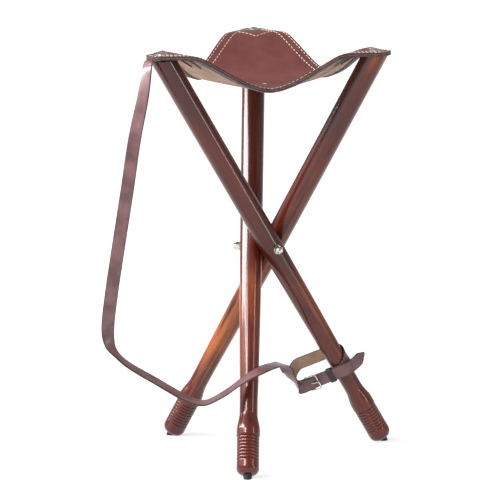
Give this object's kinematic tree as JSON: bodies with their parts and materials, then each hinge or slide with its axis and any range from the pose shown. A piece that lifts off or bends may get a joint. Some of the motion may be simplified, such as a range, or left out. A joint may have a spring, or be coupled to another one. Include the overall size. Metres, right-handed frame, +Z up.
{
  "type": "tripod hunting stool",
  "caption": "Folding stool on turned wooden legs that cross at a three-way bolt, with a dished leather seat screwed to the leg tops and a buckled leather carrying strap.",
  "frame": {"origin": "middle of the floor area of the stool without its strap, at floor level", "axes": "+Z up, -Y towards the front, where one seat edge and one foot face, +X to the right"},
  "size_m": [0.3944, 0.3686, 0.574],
  "materials": {
    "leg_wood": "gloss lacquer",
    "tip_rubber": "matt",
    "nickel": "nickel plated",
    "seat_hide": "smooth",
    "patch_suede": "suede",
    "strap_hide": "smooth",
    "keeper_hide": "smooth"
  },
  "bodies": {
    "crossing": {"three_way_bolt": "nickel", "leg_washer_left": "nickel", "leg_washer_right": "nickel", "leg_washer_rear": "nickel", "cap_nut_left": "nickel", "cap_nut_right": "nickel", "cap_nut_rear": "nickel", "seat_leather": "seat_hide"},
    "left_leg": {"leg_left": "leg_wood", "foot_tip_left": "tip_rubber", "corner_patch_left": "patch_suede", "seat_screw_left": "nickel", "cup_washer_left": "nickel", "carry_strap": "strap_hide", "leg_loop": "strap_hide", "strap_keeper": "keeper_hide", "buckle_frame": "nickel"},
    "right_leg": {"leg_right": "leg_wood", "foot_tip_right": "tip_rubber", "corner_patch_right": "patch_suede", "seat_screw_right": "nickel", "cup_washer_right": "nickel"},
    "rear_leg": {"leg_rear": "leg_wood", "foot_tip_rear": "tip_rubber", "corner_patch_rear": "patch_suede", "seat_screw_rear": "nickel", "cup_washer_rear": "nickel"},
    "tongue": {"buckle_tongue": "nickel"}
  },
  "joints": [
    {"name": "fold_left", "type": "hinge", "parent": "crossing", "child": "left_leg", "pos_m": [-0.01009, -0.00244, 0.2901], "axis": [-0.5, 0.866, 0], "range_deg": [0, 18], "deforming": ["seat_leather", "corner_patch_left", "carry_strap"]},
    {"name": "fold_right", "type": "hinge", "parent": "crossing", "child": "right_leg", "pos_m": [-0.01009, -0.00244, 0.2901], "axis": [-0.5, -0.866, 0], "range_deg": [0, 18], "deforming": ["corner_patch_right"]},
    {"name": "fold_rear", "type": "hinge", "parent": "crossing", "child": "rear_leg", "pos_m": [-0.01009, -0.00244, 0.2901], "axis": [1, 0, 0], "range_deg": [0, 18], "deforming": ["corner_patch_rear"]},
    {"name": "tongue_turn", "type": "hinge", "parent": "left_leg", "child": "tongue", "pos_m": [0.04621, 0.02891, 0.0878], "axis": [0.4473, 0.2583, -0.8563], "range_deg": [0, 80]}
  ],
  "couplings": [
    {"joint": "fold_right", "follows": "fold_left", "ratio": 1},
    {"joint": "fold_rear", "follows": "fold_left", "ratio": 1}
  ]
}
